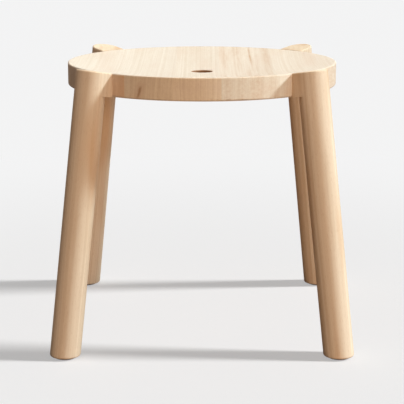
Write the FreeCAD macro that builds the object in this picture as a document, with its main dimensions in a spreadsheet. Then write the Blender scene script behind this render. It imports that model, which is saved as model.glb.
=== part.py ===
import FreeCAD, Part
import math
import os

import Sketcher
from FreeCAD import Placement, Rotation, Vector

# Stacking stool of solid pale hardwood, in millimetres.
# Origin on the floor at the centre, +Z up, -Y the side that faces the viewer.
# The seat is a round panel glued up from boards. One shallow sphere hollows it and runs on over the
# tops of the four legs. Each leg is one stick: a round shank that leans outwards, and a head whose
# inner half is squared and coped to the edge of the round seat. Two dowels hold each head.
# Turned by 45 degrees, one stool nests on the next, because the legs pass outside the round seat.

doc = FreeCAD.newDocument("stacking_stool")

sheet = doc.addObject("Spreadsheet::Sheet", "Sizes")
SIZES = [
    ("seat_height", 450.0, "floor to the rim of the round seat"),
    ("seat_radius", 225.0, "round seat, outer edge"),
    ("seat_thickness", 37.5, "at the rim"),
    ("dish_depth", 18.5, "centre of the seat below its rim"),
    ("rim_round", 2.0, "rounding of the rim's upper edge"),
    ("underside_round", 3.0, "rounding of the rim's lower edge"),
    ("finger_hole_radius", 17.5, "hole at the centre to lift the stool by"),
    ("finger_hole_round", 2.0, "rounding of both ends of the hole"),
    ("left_outer_seam", -121.0, "glue lines between the boards, along X"),
    ("left_inner_seam", -45.0, "next glue line"),
    ("right_inner_seam", 30.0, "next glue line"),
    ("right_outer_seam", 121.0, "last glue line"),
    ("leg_radius", 24.5, "round shank"),
    ("leg_floor_reach", 310.0, "centre to leg axis, at the floor"),
    ("leg_rim_reach", 244.5, "centre to leg axis, at the height of the rim"),
    ("head_reach", 33.0, "squared side of the head, inwards from the leg axis"),
    ("head_round", 2.0, "rounding of the head's upper edge"),
    ("foot_round", 3.0, "rounding round the foot"),
    ("dowel_radius", 5.0, "dowel between seat and head"),
    ("dowel_length", 56.0, "half in the seat and half in the head"),
    ("dowel_spacing", 24.0, "between the two dowels of one leg"),
    ("dowel_drop", 20.0, "dowel axis below the rim"),
    ("dowel_relief", 1.0, "spare depth at each end of a dowel hole"),
    ("dowel_chamfer", 1.0, "at each end of a dowel"),
    ("glide_radius", 17.0, "round glide under the foot"),
    ("glide_thickness", 3.0, "foot to floor"),
    ("glide_round", 1.0, "rounding of the glide's lower edge"),
    ("nail_recess_radius", 4.4, "recess in the glide's underside"),
    ("nail_recess_depth", 1.5, "recess in the glide's underside"),
    ("nail_radius", 1.2, "shank of the glide's nail"),
    ("nail_length", 16.0, "from the underside of the nail's head to where its point starts"),
    ("nail_point", 3.0, "length of the nail's point"),
    ("nail_head_radius", 4.0, "flat head, in the glide's recess"),
    ("nail_head_height", 1.0, "flat head"),
    ("stock_spare", 30.0, "stock above the rim, before the dish is cleared"),
    ("cutter_margin", 5.0, "how far a cutter runs past what it cuts"),
]
for row, (alias, value, note) in enumerate(SIZES, start=1):
    sheet.set(f"A{row}", alias)
    sheet.set(f"B{row}", str(value))
    sheet.set(f"C{row}", note)
    sheet.setAlias(f"B{row}", alias)
doc.recompute()


def size(alias):
    """The value of one cell of the sheet."""
    return float(getattr(sheet, alias))


# Expressions that several pieces share, in terms of the sheet's cells.
DISH_LOW = "(Sizes.seat_height - Sizes.dish_depth)"
CUTTER_REACH = "(Sizes.seat_radius + Sizes.cutter_margin)"
UNDERSIDE = "(Sizes.seat_height - Sizes.seat_thickness)"
DISH_RADIUS = "((Sizes.seat_radius^2 + Sizes.dish_depth^2) / (2 * Sizes.dish_depth))"
STOCK_TOP = "(Sizes.seat_height + Sizes.stock_spare)"
LEAN = "atan((Sizes.leg_floor_reach - Sizes.leg_rim_reach) / Sizes.seat_height)"
SHOULDER_REACH = "(Sizes.leg_floor_reach - Sizes.seat_radius)"
SHOULDER = f"({SHOULDER_REACH} * sin({LEAN}) + {UNDERSIDE} * cos({LEAN}))"

# How near a point must be to a line or face to count as on it, where edges are picked for rounding.
EDGE_TOLERANCE = 0.05

# Where each leg stands, as an angle round the seat from +X.
LEG_CORNERS = {
    "front_left": 225.0,
    "front_right": 315.0,
    "rear_right": 45.0,
    "rear_left": 135.0,
}


def lean_angle():
    """How far a leg leans from upright, in radians."""
    return math.atan((size("leg_floor_reach") - size("leg_rim_reach")) / size("seat_height"))


def dish_radius():
    """Radius of the sphere that hollows the seat."""
    return (size("seat_radius") ** 2 + size("dish_depth") ** 2) / (2 * size("dish_depth"))


def dish_height(reach):
    """Height of the dished surface at a distance from the seat's centre."""
    ball = dish_radius()
    return size("seat_height") - size("dish_depth") + ball - math.sqrt(ball**2 - reach**2)


def origin_plane(body, role):
    """One of the three planes at a body's own origin."""
    return next(f for f in body.Origin.OriginFeatures if f.Role == role)


def new_sketch(body, name, role, offset=None):
    """A sketch on one of the body's origin planes."""
    sketch = body.newObject("Sketcher::SketchObject", name)
    sketch.AttachmentSupport = [(origin_plane(body, role), "")]
    sketch.MapMode = "FlatFace"
    if offset is not None:
        sketch.AttachmentOffset = offset
    return sketch


def bind(sketch, constraint, name, expression):
    """Adds a named constraint to a sketch and binds it to the sheet."""
    index = sketch.addConstraint(constraint)
    sketch.renameConstraint(index, name)
    sketch.setExpression(f"Constraints.{name}", expression)


def draw_circle(sketch, radius, expression):
    """A circle about the sketch's origin whose radius is bound to the sheet."""
    ring = sketch.addGeometry(Part.Circle(Vector(0, 0, 0), Vector(0, 0, 1), radius))
    sketch.addConstraint(Sketcher.Constraint("Coincident", ring, 3, -1, 1))
    bind(sketch, Sketcher.Constraint("Radius", ring, radius), "radius", expression)


def draw_dish(sketch):
    """The half section that the dish clears from the blank, from the hole's axis to past the rim."""
    top = size("seat_height") + size("stock_spare")
    reach = size("seat_radius") + size("cutter_margin")
    low = size("seat_height") - size("dish_depth")
    ball = dish_radius()
    centre_height = low + ball
    outer = dish_height(reach)
    axis = sketch.addGeometry(Part.LineSegment(Vector(0, low, 0), Vector(0, top, 0)))
    lid = sketch.addGeometry(Part.LineSegment(Vector(0, top, 0), Vector(reach, top, 0)))
    side = sketch.addGeometry(Part.LineSegment(Vector(reach, top, 0), Vector(reach, outer, 0)))
    circle = Part.Circle(Vector(0, centre_height, 0), Vector(0, 0, 1), ball)
    end = math.atan2(outer - centre_height, reach)
    arc = sketch.addGeometry(Part.ArcOfCircle(circle, -math.pi / 2, end))
    sketch.addConstraint(Sketcher.Constraint("Coincident", axis, 2, lid, 1))
    sketch.addConstraint(Sketcher.Constraint("Coincident", lid, 2, side, 1))
    sketch.addConstraint(Sketcher.Constraint("Coincident", arc, 1, axis, 1))
    sketch.addConstraint(Sketcher.Constraint("Coincident", arc, 2, side, 2))
    sketch.addConstraint(Sketcher.Constraint("PointOnObject", axis, 1, -2))
    sketch.addConstraint(Sketcher.Constraint("Vertical", axis))
    sketch.addConstraint(Sketcher.Constraint("Horizontal", lid))
    sketch.addConstraint(Sketcher.Constraint("Vertical", side))
    sketch.addConstraint(Sketcher.Constraint("PointOnObject", arc, 3, -2))
    bind(sketch, Sketcher.Constraint("Radius", arc, ball), "ball", DISH_RADIUS)
    bind(sketch, Sketcher.Constraint("DistanceY", -1, 1, axis, 1, low), "low", DISH_LOW)
    bind(sketch, Sketcher.Constraint("DistanceY", -1, 1, lid, 1, top), "top", STOCK_TOP)
    bind(sketch, Sketcher.Constraint("DistanceX", -1, 1, side, 1, reach), "reach", CUTTER_REACH)


def check_removed(name, before, after):
    """Stops on a cut that removed nothing, because one that points the wrong way raises no error."""
    if not 0 < after < before:
        raise RuntimeError(f"{name} removed nothing: {before:.1f} to {after:.1f}")


def edge_names(shape, wanted):
    """Names of the edges for which wanted(edge) holds."""
    return [f"Edge{i}" for i, edge in enumerate(shape.Edges, start=1) if wanted(edge)]


def edge_points(edge, count=5):
    """Points spread along an edge."""
    first, last = edge.ParameterRange
    return [edge.valueAt(first + (last - first) * (i + 0.5) / count) for i in range(count)]


def ring_at(radius, height):
    """A test for edges that lie on one level circle about the vertical axis."""

    def on_ring(point):
        reach = math.hypot(point.x, point.y)
        return abs(reach - radius) < EDGE_TOLERANCE and abs(point.z - height) < EDGE_TOLERANCE

    def wanted(edge):
        return all(on_ring(point) for point in edge_points(edge))

    return wanted


def round_edges(body, name, tip, wanted, expression):
    """Rounds the chosen edges of a body's last feature."""
    doc.recompute()
    names = edge_names(tip.Shape, wanted)
    if not names:
        raise RuntimeError(f"{name} found no edges")
    fillet = body.newObject("PartDesign::Fillet", name)
    fillet.Base = (tip, names)
    fillet.setExpression("Radius", expression)
    doc.recompute()
    return fillet


def make_seat_blank():
    """The glued and turned round seat: disc, dish, finger hole and rounded edges, in one body."""
    body = doc.addObject("PartDesign::Body", "SeatBlank")

    plan = new_sketch(body, "SeatPlan", "XY_Plane")
    draw_circle(plan, size("seat_radius"), "Sizes.seat_radius")
    plan.setExpression("AttachmentOffset.Base.z", UNDERSIDE)
    disc = body.newObject("PartDesign::Pad", "SeatDisc")
    disc.Profile = plan
    disc.setExpression("Length", "Sizes.seat_thickness")
    doc.recompute()

    section = new_sketch(body, "DishSection", "XZ_Plane")
    draw_dish(section)
    dish = body.newObject("PartDesign::Groove", "Dish")
    dish.Profile = section
    dish.ReferenceAxis = (section, ["V_Axis"])
    dish.Angle = 360
    doc.recompute()
    check_removed("the dish", disc.Shape.Volume, dish.Shape.Volume)

    hole_plan = new_sketch(body, "HolePlan", "XY_Plane")
    draw_circle(hole_plan, size("finger_hole_radius"), "Sizes.finger_hole_radius")
    hole_plan.setExpression("AttachmentOffset.Base.z", STOCK_TOP)
    hole = body.newObject("PartDesign::Pocket", "FingerHole")
    hole.Profile = hole_plan
    hole.Type = "ThroughAll"
    doc.recompute()
    check_removed("the finger hole", dish.Shape.Volume, hole.Shape.Volume)

    rim_edge = ring_at(size("seat_radius"), size("seat_height"))
    rim = round_edges(body, "RimRound", hole, rim_edge, "Sizes.rim_round")
    low = size("seat_height") - size("seat_thickness")
    low_edge = ring_at(size("seat_radius"), low)
    underside = round_edges(body, "UndersideRound", rim, low_edge, "Sizes.underside_round")
    hole_radius = size("finger_hole_radius")
    hole_low, hole_high = ring_at(hole_radius, low), ring_at(hole_radius, dish_height(hole_radius))

    def hole_edge(edge):
        return hole_low(edge) or hole_high(edge)

    body.Tip = round_edges(body, "HoleRound", underside, hole_edge, "Sizes.finger_hole_round")
    doc.recompute()
    return body


def outward(corner):
    """The level direction from the seat's centre to a leg."""
    angle = math.radians(LEG_CORNERS[corner])
    return Vector(math.cos(angle), math.sin(angle), 0)


def dowel_start(corner, side):
    """The inner end of one dowel, which points along its leg's own diagonal."""
    out = outward(corner)
    across = Vector(-out.y, out.x, 0)
    reach = size("seat_radius") - size("dowel_length") / 2
    start = out * reach + across * (side * size("dowel_spacing") / 2)
    start.z = size("seat_height") - size("dowel_drop")
    return start


def cylinder(name, radius, height, base, direction=Vector(0, 0, 1)):
    """A cylinder whose radius and height are expressions of the sheet."""
    shape = doc.addObject("Part::Cylinder", name)
    shape.setExpression("Radius", radius)
    shape.setExpression("Height", height)
    shape.Placement = Placement(base, Rotation(Vector(0, 0, 1), direction))
    return shape


def cut(name, base, tools):
    """One solid less several others."""
    doc.recompute()
    before = base.Shape.Volume
    for i, tool in enumerate(tools):
        base_cut = doc.addObject("Part::Cut", f"{name}_cut_{i}")
        base_cut.Base = base
        base_cut.Tool = tool
        base = base_cut
    doc.recompute()
    check_removed(name, before, base.Shape.Volume)
    return base


def round_solid(name, base, wanted, radius):
    """Rounds the chosen edges of a solid made by a boolean."""
    doc.recompute()
    chosen = [i for i, edge in enumerate(base.Shape.Edges, start=1) if wanted(edge)]
    edges = [(i, radius, radius) for i in chosen]
    if not edges:
        raise RuntimeError(f"{name} found no edges")
    fillet = doc.addObject("Part::Fillet", name)
    fillet.Base = base
    fillet.Edges = edges
    doc.recompute()
    return fillet


def make_bores():
    """The eight dowel holes, as solids to cut from seat and legs."""
    bores = {}
    for corner in LEG_CORNERS:
        out = outward(corner)
        for side in (-1, 1):
            start = dowel_start(corner, side) - out * size("dowel_relief")
            length = "Sizes.dowel_length + 2 * Sizes.dowel_relief"
            name = f"bore_{corner}_{'right' if side < 0 else 'left'}"
            bores[corner, side] = cylinder(name, "Sizes.dowel_radius", length, start, out)
    return bores


def make_boards(blank, bores):
    """The seat's boards: the blank parted at its glue lines, with dowel holes in the outer two."""
    seams = [
        ("seat_board_left_outer", f"0 - {CUTTER_REACH}", "Sizes.left_outer_seam"),
        ("seat_board_left_inner", "Sizes.left_outer_seam", "Sizes.left_inner_seam"),
        ("seat_board_centre", "Sizes.left_inner_seam", "Sizes.right_inner_seam"),
        ("seat_board_right_inner", "Sizes.right_inner_seam", "Sizes.right_outer_seam"),
        ("seat_board_right_outer", "Sizes.right_outer_seam", CUTTER_REACH),
    ]
    boards = []
    for name, left, right in seams:
        slab = doc.addObject("Part::Box", f"slab_{name}")
        slab.setExpression("Length", f"({right}) - ({left})")
        slab.setExpression("Width", f"2 * {CUTTER_REACH}")
        slab.setExpression("Height", "Sizes.seat_thickness + 2 * Sizes.cutter_margin")
        slab.setExpression("Placement.Base.x", left)
        slab.setExpression("Placement.Base.y", f"0 - {CUTTER_REACH}")
        slab.setExpression("Placement.Base.z", f"{UNDERSIDE} - Sizes.cutter_margin")
        board = doc.addObject("Part::Common", f"common_{name}")
        board.Base = blank
        board.Tool = slab
        if name.endswith("outer"):
            half = "left" if "_left_" in name else "right"
            board = cut(name, board, [bores[key] for key in bores if key[0].endswith(half)])
        board.Label = name
        boards.append(board)
    return boards


def leg_placement(corner):
    """The leg's own frame: the axis meets the floor at its origin, and its X axis points outwards."""
    turn = Rotation(Vector(0, 0, 1), LEG_CORNERS[corner])
    turn = turn * Rotation(Vector(0, 1, 0), -math.degrees(lean_angle()))
    return Placement(outward(corner) * size("leg_floor_reach"), turn)


def shoulder_height():
    """Where the squared head starts, along the leg's axis from the floor."""
    lean = lean_angle()
    level = (size("leg_floor_reach") - size("seat_radius")) * math.sin(lean)
    return level + (size("seat_height") - size("seat_thickness")) * math.cos(lean)


def make_leg(corner, tools, bores):
    """One leg: round shank, squared head, cope for the seat, dish, level foot and the holes."""
    frame = leg_placement(corner)
    run = f"{STOCK_TOP} / cos({LEAN})"
    start = frame.multVec(Vector(0, 0, -size("leg_radius")))
    axis = frame.Rotation.multVec(Vector(0, 0, 1))
    length = f"{run} + Sizes.leg_radius"
    shank = cylinder(f"shank_{corner}", "Sizes.leg_radius", length, start, axis)

    head = doc.addObject("Part::Box", f"head_{corner}")
    head.setExpression("Length", "Sizes.head_reach")
    head.setExpression("Width", "2 * Sizes.leg_radius")
    head.setExpression("Height", f"{run} - {SHOULDER}")
    corner_point = Vector(-size("head_reach"), -size("leg_radius"), shoulder_height())
    head.Placement = Placement(frame.multVec(corner_point), frame.Rotation)

    stick = doc.addObject("Part::Fuse", f"stick_{corner}")
    stick.Base = shank
    stick.Tool = head
    stick.Refine = True
    shaped = cut(f"shaped_{corner}", stick, [tools["seat"], tools["dish"], tools["floor"]])

    def on_dish(point):
        reach = math.hypot(point.x, point.y)
        outside = reach > size("seat_radius") + EDGE_TOLERANCE
        return outside and abs(point.z - dish_height(reach)) < EDGE_TOLERANCE

    def head_edge(edge):
        return all(on_dish(point) for point in edge_points(edge))

    def foot_edge(edge):
        return all(abs(p.z - size("glide_thickness")) < EDGE_TOLERANCE for p in edge_points(edge))

    rounded = round_solid(f"head_round_{corner}", shaped, head_edge, size("head_round"))
    rounded = round_solid(f"foot_round_{corner}", rounded, foot_edge, size("foot_round"))
    nail_hole = cylinder(
        f"nail_hole_{corner}",
        "Sizes.nail_radius",
        "Sizes.nail_length + Sizes.nail_point",
        foot_point(corner, size("glide_thickness")),
    )
    leg = cut(f"leg_{corner}", rounded, [bores[corner, -1], bores[corner, 1], nail_hole])
    leg.Label = f"leg_{corner}"
    return leg


def foot_point(corner, height):
    """A point above the middle of a foot, at a height over the floor."""
    slope = (size("leg_floor_reach") - size("leg_rim_reach")) / size("seat_height")
    point = outward(corner) * (size("leg_floor_reach") - slope * size("glide_thickness"))
    point.z = height
    return point


def make_dowel(corner, side):
    """One dowel with both ends chamfered."""
    name = f"dowel_{corner}_{'right' if side < 0 else 'left'}"
    start = dowel_start(corner, side)
    rod = cylinder(f"rod_{name}", "Sizes.dowel_radius", "Sizes.dowel_length", start, outward(corner))
    doc.recompute()
    ends = [i for i, edge in enumerate(rod.Shape.Edges, start=1) if edge.Closed]
    dowel = doc.addObject("Part::Chamfer", f"chamfer_{name}")
    dowel.Base = rod
    dowel.Edges = [(i, size("dowel_chamfer"), size("dowel_chamfer")) for i in ends]
    dowel.Label = name
    return dowel


def make_glide(corner):
    """A round glide with a recess and a hole for its nail."""
    floor = foot_point(corner, 0)
    disc = cylinder(f"disc_{corner}", "Sizes.glide_radius", "Sizes.glide_thickness", floor)

    def lower_edge(edge):
        return all(p.z < EDGE_TOLERANCE for p in edge_points(edge))

    disc = round_solid(f"glide_round_{corner}", disc, lower_edge, size("glide_round"))
    below = foot_point(corner, -size("cutter_margin"))
    recess_run = "Sizes.cutter_margin + Sizes.nail_recess_depth"
    recess = cylinder(f"recess_{corner}", "Sizes.nail_recess_radius", recess_run, below)
    hole_run = "Sizes.glide_thickness + 2 * Sizes.cutter_margin"
    hole = cylinder(f"glide_hole_{corner}", "Sizes.nail_radius", hole_run, below)
    glide = cut(f"glide_{corner}", disc, [recess, hole])
    glide.Label = f"foot_glide_{corner}"
    return glide


def make_nail(corner):
    """A nail with a flat head, a straight shank and a point, driven straight up."""
    bearing = size("nail_recess_depth")
    head_start = foot_point(corner, bearing - size("nail_head_height"))
    shank_start = foot_point(corner, bearing)
    point_start = foot_point(corner, bearing + size("nail_length"))
    head = cylinder(
        f"nail_head_{corner}", "Sizes.nail_head_radius", "Sizes.nail_head_height", head_start
    )
    shank = cylinder(
        f"nail_shank_{corner}", "Sizes.nail_radius", "Sizes.nail_length", shank_start
    )
    point = doc.addObject("Part::Cone", f"nail_point_{corner}")
    point.setExpression("Radius1", "Sizes.nail_radius")
    point.Radius2 = 0
    point.setExpression("Height", "Sizes.nail_point")
    point.Placement = Placement(point_start, Rotation())
    nail = doc.addObject("Part::MultiFuse", f"nail_{corner}")
    nail.Shapes = [head, shank, point]
    nail.Label = f"glide_nail_{corner}"
    return nail


def make_leg_tools():
    """What is cleared from every leg: the round seat's space, the dish and all below the foot."""
    low = size("seat_height") - size("seat_thickness") - 2 * size("cutter_margin")
    rise = "Sizes.seat_thickness + 2 * Sizes.cutter_margin + 2 * Sizes.stock_spare"
    seat = cylinder("seat_space", "Sizes.seat_radius", rise, Vector(0, 0, low))
    dish = doc.addObject("Part::Sphere", "dish_ball")
    dish.setExpression("Radius", DISH_RADIUS)
    dish.setExpression("Placement.Base.z", f"{DISH_LOW} + {DISH_RADIUS}")
    floor = doc.addObject("Part::Box", "below_feet")
    reach = "(Sizes.leg_floor_reach + 2 * Sizes.leg_radius)"
    floor.setExpression("Length", f"2 * {reach}")
    floor.setExpression("Width", f"2 * {reach}")
    floor.setExpression("Height", "4 * Sizes.leg_radius")
    floor.setExpression("Placement.Base.x", f"0 - {reach}")
    floor.setExpression("Placement.Base.y", f"0 - {reach}")
    floor.setExpression("Placement.Base.z", "Sizes.glide_thickness - 4 * Sizes.leg_radius")
    return {"seat": seat, "dish": dish, "floor": floor}


def check_document():
    """Stops on any object that failed to compute."""
    for item in doc.Objects:
        if "Invalid" in item.State or "Error" in item.State:
            raise RuntimeError(f"{item.Name} failed: {item.State} {item.getStatusString()}")


def export(pieces):
    """Writes one STEP file for each piece, named after its label."""
    os.makedirs("parts", exist_ok=True)
    for piece in pieces:
        shape = piece.Shape
        if shape.isNull() or not shape.isValid() or len(shape.Solids) != 1:
            raise RuntimeError(f"{piece.Label} is not one valid solid")
        shape.exportStep(f"parts/{piece.Label}.step")
        box = shape.BoundBox
        print(
            f"{piece.Label}: {shape.Volume / 1000:.2f} cm3,"
            f" X {box.XMin:.1f} to {box.XMax:.1f},"
            f" Y {box.YMin:.1f} to {box.YMax:.1f},"
            f" Z {box.ZMin:.1f} to {box.ZMax:.1f}"
        )


bore_solids = make_bores()
pieces = make_boards(make_seat_blank(), bore_solids)
leg_tools = make_leg_tools()
for leg_corner in LEG_CORNERS:
    pieces.append(make_leg(leg_corner, leg_tools, bore_solids))
    for dowel_side in (-1, 1):
        pieces.append(make_dowel(leg_corner, dowel_side))
    pieces.append(make_glide(leg_corner))
    pieces.append(make_nail(leg_corner))

doc.recompute()
check_document()
export(pieces)
print(f"{len(pieces)} pieces")
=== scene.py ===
import math

import bpy
from mathutils import Euler, Matrix, Vector

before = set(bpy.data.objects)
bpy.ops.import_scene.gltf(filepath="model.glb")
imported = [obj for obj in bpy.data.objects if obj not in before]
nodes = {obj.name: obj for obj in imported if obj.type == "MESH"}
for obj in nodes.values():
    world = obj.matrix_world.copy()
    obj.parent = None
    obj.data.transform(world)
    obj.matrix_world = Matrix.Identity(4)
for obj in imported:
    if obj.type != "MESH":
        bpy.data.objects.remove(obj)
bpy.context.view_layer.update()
scene = bpy.context.scene

# The seat is a round panel of five pale hardwood boards, glued edge to edge with the grain from
# front to rear, then turned round, dished and sanded. The boards are cut across the growth rings,
# so fine straight lines run over the face and stand upright in the end grain of the edge.


class Shade:
    """One socket of a material's nodes. Sums and products of sockets add Math nodes."""

    def __init__(self, tree, socket=None):
        self.tree = tree
        self.socket = socket

    def node(self, kind, settings=None, inputs=None, output=0):
        """Adds a node, makes its settings, fills its sockets and gives one of its outputs."""
        made = self.tree.nodes.new(kind)
        for name, value in (settings or {}).items():
            if name == "stops":
                ramp = made.color_ramp
                for place, tone in value[1:-1]:
                    ramp.elements.new(place).color = (tone, tone, tone, 1.0)
                for element, (place, tone) in ((0, value[0]), (-1, value[-1])):
                    ramp.elements[element].position = place
                    ramp.elements[element].color = (tone, tone, tone, 1.0)
            else:
                setattr(made, name, value)
        for name, value in (inputs or {}).items():
            if isinstance(value, Shade):
                self.tree.links.new(value.socket, made.inputs[name])
            else:
                made.inputs[name].default_value = value
        return Shade(self.tree, made.outputs[output])

    def output(self, name):
        """Another output of the same node."""
        return Shade(self.tree, self.socket.node.outputs[name])

    def math(self, operation, *values):
        return self.node("ShaderNodeMath", {"operation": operation}, dict(enumerate(values)))

    def __add__(self, other):
        return self.math("ADD", self, other)

    def __sub__(self, other):
        return self.math("SUBTRACT", self, other)

    def __rsub__(self, other):
        return self.math("SUBTRACT", other, self)

    def __mul__(self, other):
        return self.math("MULTIPLY", self, other)

    def __truediv__(self, other):
        return self.math("DIVIDE", self, other)

    def __pow__(self, other):
        return self.math("POWER", self, other)

    def __abs__(self):
        return self.math("ABSOLUTE", self)

    __radd__ = __add__
    __rmul__ = __mul__

    def step(self, low, high):
        """0 below low and 1 above high, with a soft step between."""
        values = {"Value": self, "From Min": low, "From Max": high}
        return self.node("ShaderNodeMapRange", {"interpolation_type": "SMOOTHSTEP"}, values)

    def blend(self, first, second, mode="MIX"):
        """A mix of two colours, with this socket as the factor."""
        settings = {"data_type": "RGBA", "blend_type": mode}
        return self.node("ShaderNodeMix", settings, {0: self, 6: first, 7: second}, output=2)

    def noise(self, scale, detail=2.0, rough=0.5):
        """Cloudy noise over this place, stretched by a scale for each axis."""
        place = self.node("ShaderNodeMapping", {}, {"Vector": self, "Scale": scale})
        values = {"Vector": place, "Scale": 1.0, "Detail": detail, "Roughness": rough}
        return self.node("ShaderNodeTexNoise", {}, values)


def new_material(name):
    """A material with its shader, and an unconnected Shade to build on."""
    material = bpy.data.materials.new(name)
    material.use_nodes = True
    return material, Shade(material.node_tree), material.node_tree.nodes["Principled BSDF"]


def set_inputs(shade, shader, **values):
    """Sets or links sockets of the shader by name, with underscores for spaces."""
    for name, value in values.items():
        socket = shader.inputs[name.replace("_", " ")]
        if isinstance(value, Shade):
            shade.tree.links.new(value.socket, socket)
        else:
            socket.default_value = value


def rgba(colour, gain=1.0):
    return (colour[0] * gain, colour[1] * gain, colour[2] * gain, 1.0)


def make_wood(name, tones, turn, pith, slide, gain, ring, marks=None):
    """Pale hardwood whose grain runs along Z once turn is applied.

    pith is where the middle of the tree lies, across the grain, and slide moves the figure along
    it. ring is the width of a year's growth. marks is a function that gives stains in this one
    piece, each as a mask and the name of its tone.
    """
    material, wood, shader = new_material(name)
    place = wood.node("ShaderNodeTexCoord", output=3)
    along = wood.node("ShaderNodeMapping", {}, {"Vector": place, "Rotation": turn})
    tree = wood.node("ShaderNodeMapping", {}, {"Vector": along, "Location": (*pith, slide)})

    # Growth rings, which wander a little along the tree and differ in width and in tone.
    parts = wood.node("ShaderNodeSeparateXYZ", {}, {"Vector": tree})
    across, up = parts.output("X"), parts.output("Y")
    wander = tree.noise((7.0, 7.0, 1.3), 3.0) - 0.5
    radius = (across * across + up * up) ** 0.5 + wander * 0.016
    width = tree.noise((40.0, 40.0, 0.8), 1.0) - 0.5
    phase = wood.math("FRACT", radius / ring + width * 1.2)
    late = phase.step(0.25, 0.95) * (1.0 - phase.step(0.955, 1.0))
    settings, values = {"noise_dimensions": "1D"}, {"W": radius * 210.0, "Detail": 3.0}
    band = wood.node("ShaderNodeTexNoise", settings, {**values, "Scale": 1.0, "Roughness": 0.6})

    # Fibres, fine streaks along the grain, soft clouds, and short pores like small dark dashes.
    fibre = tree.noise((1400.0, 1400.0, 20.0), 2.0, 0.6)
    streak = tree.noise((230.0, 230.0, 2.6), 3.0, 0.55)
    cloud = tree.noise((14.0, 14.0, 2.4), 2.0)
    pore = tree.noise((1300.0, 1300.0, 140.0), 0.0).step(0.66, 0.74)

    figure = late * 0.14 + (band - 0.5) * 1.1 + (streak - 0.5) * 0.7
    figure = figure + (cloud - 0.5) * 0.9 + (fibre - 0.5) * 0.3
    figure = figure.step(-0.85, 1.05)
    colour = figure.blend(rgba(tones["light"], gain), rgba(tones["dark"], gain))

    # End grain drinks more of the finish, so it has its own tones.
    grain = Euler(turn).to_matrix().transposed() @ Vector((0, 0, 1))
    facing = wood.node("ShaderNodeNewGeometry", output=1)
    settings, values = {"operation": "DOT_PRODUCT"}, {0: facing, 1: tuple(grain)}
    end = abs(wood.node("ShaderNodeVectorMath", settings, values, output=1)).step(0.62, 0.98)
    cut = figure.blend(rgba(tones["end_light"], gain), rgba(tones["end_dark"], gain))
    colour = end.blend(colour, cut)

    blush = tree.noise((24.0, 24.0, 4.0), 2.0).step(0.44, 0.72)
    colour = (blush * tones["patch"]).blend(colour, rgba(tones["blush"], gain))
    if marks:
        for mask, tone in marks(wood, place, streak):
            colour = mask.blend(colour, rgba(tones[tone]))
    colour = (pore * 0.25).blend(colour, rgba(tones["fleck"], gain))

    relief = fibre * 0.5 + late * 0.2 - pore * 0.6
    values = {"Strength": 0.22, "Distance": 0.00025, "Height": relief}
    bump = wood.node("ShaderNodeBump", {}, values)
    rough = 0.70 + (fibre - 0.5) * 0.14 + end * 0.08 + pore * 0.1
    set_inputs(wood, shader, Base_Color=colour, Roughness=rough, Normal=bump)
    set_inputs(wood, shader, Specular_IOR_Level=tones["gloss"])
    return material


def dress(node, material):
    """Gives a node its finish."""
    piece = nodes[node]
    piece.data.materials.clear()
    piece.data.materials.append(material)


def heartwood(wood, place, streak):
    """Brown streaks from front to rear, broad at the front and narrow at the rear."""
    left_seam, right_seam = 0.030, 0.121
    parts = wood.node("ShaderNodeSeparateXYZ", {}, {"Vector": place})
    sway = place.noise((0.0, 5.0, 0.0), 1.0) - 0.5
    width = (parts.output("X") + sway * 0.010 - left_seam) / (right_seam - left_seam)
    front = [(0.0, 0.1), (0.11, 0.35), (0.20, 0.1), (0.34, 0.35), (0.44, 0.20), (0.52, 0.45),
             (0.64, 0.5), (0.74, 0.2), (0.84, 0.3), (0.93, 0.3), (1.0, 0.1)]
    rear = [(0.0, 0.0), (0.10, 0.45), (0.18, 0.1), (0.38, 0.45), (0.46, 0.1), (0.575, 0.2),
            (0.60, 1.0), (0.63, 0.2), (0.80, 0.1), (0.90, 0.5), (1.0, 0.1)]
    front = wood.node("ShaderNodeValToRGB", {"stops": front}, {"Fac": width})
    rear = wood.node("ShaderNodeValToRGB", {"stops": rear}, {"Fac": width})
    depth = parts.output("Y").step(-0.04, 0.09)
    heart = depth.blend(front, rear)
    return [(heart * (0.35 + streak.step(0.25, 0.75) * 0.65), "heart")]


def painted_shade_rim(wood, place, streak):
    """Tones down the turned edge of this board, which the key lamp would burn out.

    The photograph shows no such band. It stands in for a weaker lamp and isn't the wood's own.
    """
    seat_radius = 0.225
    parts = wood.node("ShaderNodeSeparateXYZ", {}, {"Vector": place})
    across, deep = parts.output("X"), parts.output("Y")
    radius = (across * across + deep * deep) ** 0.5
    rim = radius.step(seat_radius - 0.0018, seat_radius - 0.0004) * across.step(0.185, 0.205)
    # The heart tone laid on this rim is painted shade.
    return [(rim * (0.35 + streak.step(0.25, 0.75) * 0.25), "heart")]


def mineral_smear(wood, place, streak):
    """A short dark smear, with a brown halo, that leans across the end grain of the front edge."""
    middle_x, middle_z, slope = -0.0974, 0.4240, 0.29
    parts = wood.node("ShaderNodeSeparateXYZ", {}, {"Vector": place})
    height = parts.output("Z") - middle_z
    side = abs(parts.output("X") - middle_x - height * slope + (streak - 0.5) * 0.003)
    front = 1.0 - parts.output("Y").step(-0.16, -0.12)
    halo = (1.0 - side.step(0.002, 0.011)) * (1.0 - abs(height).step(0.008, 0.020))
    core = (1.0 - side.step(0.0005, 0.0034)) * (1.0 - abs(height).step(0.004, 0.0125))
    return [(halo * front * 0.30, "heart"), (core * front * 0.62, "smear")]


def hole_wall_painted_shade(wood, place, streak):
    """The wall of the finger hole, darkened with the smear tone as painted shade."""
    hole_radius = 0.0175
    parts = wood.node("ShaderNodeSeparateXYZ", {}, {"Vector": place})
    across, deep = parts.output("X"), parts.output("Y")
    radius = (across * across + deep * deep) ** 0.5
    wall = 1.0 - radius.step(hole_radius + 0.0001, hole_radius + 0.0015)
    return [(wall * 0.95, "smear")]


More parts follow.
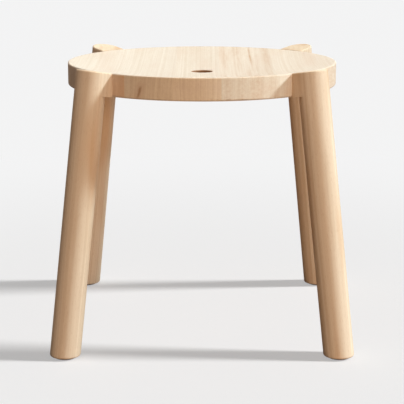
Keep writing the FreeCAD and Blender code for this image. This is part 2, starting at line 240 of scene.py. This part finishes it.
# The boards' tones, matched to the photograph together with the lamps. The end grain, which shows
# in the edge of the seat, is red on the shaded left and pale on the lit right, and the boards get
# lighter to the right, so these tones follow its light as well as its wood. Each board then has
# its tones, its pith, how far its figure slides along, how light it is, the width of its rings
# and its marks.
SEAT_WOOD = {
    "light": (0.775, 0.708, 0.618),
    "dark": (0.648, 0.544, 0.426),
    "end_light": (0.858, 0.722, 0.545),
    "end_dark": (0.630, 0.482, 0.330),
    "blush": (0.666, 0.518, 0.408),
    "heart": (0.570, 0.375, 0.233),
    "smear": (0.330, 0.170, 0.090),
    "fleck": (0.560, 0.365, 0.205),
    "gloss": 0.03,
    "patch": 0.35,
}
# The left board's red end grain is partly painted shade, and the right boards' pale end grain is
# partly painted light.
RED_END = {**SEAT_WOOD, "end_light": (0.811, 0.492, 0.263), "end_dark": (0.608, 0.326, 0.158)}
PALE_END = {**SEAT_WOOD, "end_light": (0.822, 0.761, 0.640), "end_dark": (0.659, 0.578, 0.456)}
FRONT_TO_REAR = (math.radians(90), 0, 0)
# How light each board is, rising from 0.975 to 1.070 towards the right, is partly painted light.
BOARDS = {
    "left_outer": (RED_END, (0.52, 0.451), 0.31, 0.975, 0.0033, None),
    "left_inner": (SEAT_WOOD, (-0.36, 0.406), 1.27, 0.975, 0.0038, mineral_smear),
    "centre": (SEAT_WOOD, (0.41, 0.441), 2.09, 1.005, 0.0035, hole_wall_painted_shade),
    "right_inner": (PALE_END, (-0.44, 0.416), 3.44, 1.040, 0.0031, heartwood),
    "right_outer": (PALE_END, (0.33, 0.451), 4.58, 1.070, 0.0040, painted_shade_rim),
}
for board, (tones, *cut) in BOARDS.items():
    wood = make_wood(f"seat_wood_{board}", tones, FRONT_TO_REAR, *cut)
    dress(f"seat_board_{board}", wood)

# Each leg is one stick of the same wood, turned round below and squared where it meets the seat.
# Its grain follows its lean, so the dished top of the head shows end grain. The legs' tones are
# warmer than the seat's, because they too were matched to the photograph under these lamps.
LEG_WOOD = {
    "light": (0.845, 0.724, 0.578),
    "dark": (0.611, 0.464, 0.313),
    "end_light": (0.835, 0.708, 0.545),
    "end_dark": (0.726, 0.567, 0.398),
    "blush": (0.640, 0.425, 0.255),
    "fleck": (0.506, 0.312, 0.177),
    "gloss": 0.04,
    "patch": 0.85,
}
FLOOR_REACH, RIM_REACH, RIM_HEIGHT = 0.3100, 0.2445, 0.450
LEAN = math.atan((FLOOR_REACH - RIM_REACH) / RIM_HEIGHT)
# The last number is how light each leg is. The rear legs are a little darker, as painted shade.
LEGS = {
    "front_left": (225, (0.050, 0.060), 0.4, 0.985),
    "front_right": (315, (-0.068, 0.036), 1.9, 1.000),
    "rear_right": (45, (0.052, -0.050), 3.1, 0.960),
    "rear_left": (135, (-0.044, -0.058), 4.6, 0.960),
}
for corner, (angle, pith, slide, gain) in LEGS.items():
    upright = Matrix.Rotation(LEAN, 3, "Y") @ Matrix.Rotation(math.radians(-angle), 3, "Z")
    outward = Vector((math.cos(math.radians(angle)), math.sin(math.radians(angle)), 0))
    foot = upright @ outward * FLOOR_REACH
    shift = (pith[0] - foot.x, pith[1] - foot.y)
    turn = tuple(upright.to_euler("XYZ"))
    wood = make_wood(f"leg_wood_{corner}", LEG_WOOD, turn, shift, slide, gain, 0.0032)
    dress(f"leg_{corner}", wood)

# Two round pegs of bare wood pin every leg head to the seat. They are cut from straight stick, with
# the grain along them, and are hidden once glued in.
across = (0, math.radians(90), 0)
peg_wood = make_wood("peg_wood", LEG_WOOD, across, (0.02, 0.03), 0.7, 0.9, 0.0016)
for corner in LEGS:
    for side in ("left", "right"):
        dress(f"dowel_{corner}_{side}", peg_wood)

# A round glide under each foot keeps the end grain off the floor. It is moulded of dark plastic,
# finely pitted, and scuffed a little lighter in places.
glide_plastic, plastic, shader = new_material("glide_plastic")
place = plastic.node("ShaderNodeTexCoord", output=3)
grit = plastic.node("ShaderNodeTexNoise", {}, {"Vector": place, "Scale": 1800.0, "Detail": 2.0})
scuff = plastic.node("ShaderNodeTexNoise", {}, {"Vector": place, "Scale": 160.0, "Detail": 4.0})
colour = scuff.blend((0.030, 0.026, 0.024, 1.0), (0.062, 0.056, 0.052, 1.0))
bump = plastic.node("ShaderNodeBump", {}, {"Strength": 0.3, "Distance": 0.0002, "Height": grit})
set_inputs(plastic, shader, Base_Color=colour, Roughness=0.45 + scuff * 0.25, Normal=bump)
for corner in LEGS:
    dress(f"foot_glide_{corner}", glide_plastic)

# One nail holds each glide, driven up into the foot through its middle. It is of zinc-plated steel
# with a flat head, and a little cloudy.
nail_steel, steel, shader = new_material("nail_steel")
place = steel.node("ShaderNodeTexCoord", output=3)
cloud = steel.node("ShaderNodeTexNoise", {}, {"Vector": place, "Scale": 420.0, "Detail": 3.0})
colour = cloud.blend((0.46, 0.46, 0.47, 1.0), (0.68, 0.68, 0.70, 1.0))
set_inputs(steel, shader, Base_Color=colour, Metallic=1.0, Roughness=0.24 + cloud * 0.22)
for corner in LEGS:
    dress(f"glide_nail_{corner}", nail_steel)

# The studio floor is pale and seamless. Near the stool the camera sees half lit floor, with the
# stool's shadow, and half plain glow, and farther off the glow alone, which has no edge or horizon.
# The stool gets a brown bounce from it, which a floor as grey as this wouldn't give. From below,
# the floor is clear.
bpy.ops.object.select_all(action="DESELECT")
bpy.ops.mesh.primitive_plane_add(size=60)
floor = bpy.context.object
floor.name = "studio_floor"
floor_paint, paint, shader = new_material("floor_paint")
place = paint.node("ShaderNodeTexCoord", output=3)
parts = paint.node("ShaderNodeSeparateXYZ", {}, {"Vector": place})
depth = parts.output("Y")
far = (parts.output("X") * parts.output("X") + depth * depth) ** 0.5
rays = paint.node("ShaderNodeLightPath")
seen = rays.output("Is Camera Ray") + rays.output("Is Glossy Ray")
seen = seen + rays.output("Is Transmission Ray")
bounce = (0.258, 0.134, 0.062, 1.0)
colour = seen.blend(bounce, (0.850, 0.850, 0.850, 1.0))
set_inputs(paint, shader, Base_Color=colour, Roughness=0.9)
matte = Shade(paint.tree, shader.outputs[0])
glow = paint.node("ShaderNodeEmission", {}, {"Color": (0.900, 0.900, 0.903, 1.0)})
share = (0.48 + far.step(0.3, 1.6) * 0.52) * seen
mixed = paint.node("ShaderNodeMixShader", {}, {0: share, 1: matte, 2: glow})
clear = paint.node("ShaderNodeBsdfTransparent")
under = paint.node("ShaderNodeNewGeometry").output("Backfacing") * rays.output("Is Camera Ray")
mixed = paint.node("ShaderNodeMixShader", {}, {0: under, 1: mixed, 2: clear})
paint.tree.links.new(mixed.socket, paint.tree.nodes["Material Output"].inputs["Surface"])
floor.data.materials.append(floor_paint)

# The lamps light the stool or the floor, never both, so that the floor and its shadows stay grey.
# A low cool lamp stands to the right, and weaker warm ones above and in front fill the shade.
stool_only = bpy.data.collections.new("stool_only")
for piece in nodes.values():
    stool_only.objects.link(piece)
floor_only = bpy.data.collections.new("floor_only")
floor_only.objects.link(floor)


def area_lamp(name, place, aim, size, power, colour):
    """A square lamp that faces a point and lights the stool alone."""
    bpy.ops.object.light_add(type="AREA", location=place)
    lamp = bpy.context.object
    lamp.name = name
    lamp.data.size = size
    lamp.data.energy = power
    lamp.data.color = colour
    lamp.rotation_euler = (Vector(aim) - Vector(place)).to_track_quat("-Z", "Y").to_euler()
    lamp.light_linking.receiver_collection = stool_only


def sun_lamp(name, power, colour, lit):
    """A lamp from the right, as wide as the soft edges of the shadows on the floor ask for."""
    bpy.ops.object.light_add(type="SUN", location=(2, 0, 1.24))
    lamp = bpy.context.object
    lamp.name = name
    lamp.data.energy = power
    lamp.data.angle = math.radians(7.7)
    lamp.data.color = colour
    lamp.rotation_euler = Vector((1, 0, 0.60)).to_track_quat("Z", "Y").to_euler()
    lamp.light_linking.receiver_collection = lit


area_lamp("ceiling_lamp", (0, -0.2, 3.2), (0, 0, 0.2), 3.0, 76.0, (1.000, 0.890, 0.790))
area_lamp("rear_lamp", (0, 3.6, 2.2), (0, 0, 0.3), 2.0, 20.0, (0.980, 1.000, 0.997))
area_lamp("front_lamp", (1.5, -3.8, 0.8), (0, 0, 0.3), 1.0, 71.0, (1.000, 0.780, 0.610))
area_lamp("right_lamp", (4.0, -1.4, 0.9), (0, 0, 0.3), 1.0, 22.0, (0.850, 0.960, 1.000))
sun_lamp("key_lamp", 3.50, (0.755, 0.920, 1.000), stool_only)
sun_lamp("floor_lamp", 5.2, (1.0, 1.0, 1.0), floor_only)

# The air glows white where the camera sees it, or a reflection, and hardly lights the stool.
world = bpy.data.worlds.new("studio_air")
scene.world = world
world.use_nodes = True
air = Shade(world.node_tree)
rays = air.node("ShaderNodeLightPath")
seen = rays.output("Is Camera Ray") + rays.output("Is Glossy Ray")
seen = seen + rays.output("Is Transmission Ray")
backdrop = seen.blend((0.026, 0.018, 0.011, 1.0), (0.92, 0.92, 0.92, 1.0))
world.node_tree.links.new(backdrop.socket, world.node_tree.nodes["Background"].inputs["Color"])

# The photograph is taken from the front, a little above the seat, with a long lens.
bpy.ops.object.camera_add(
    location=(0, -2.3832, 0.7290), rotation=(math.radians(90 - 12.385), 0, 0)
)
scene.camera = bpy.context.object
scene.camera.data.sensor_width = 36
scene.camera.data.lens = 126.34
scene.camera.data.clip_end = 100
scene.view_settings.view_transform = "Standard"
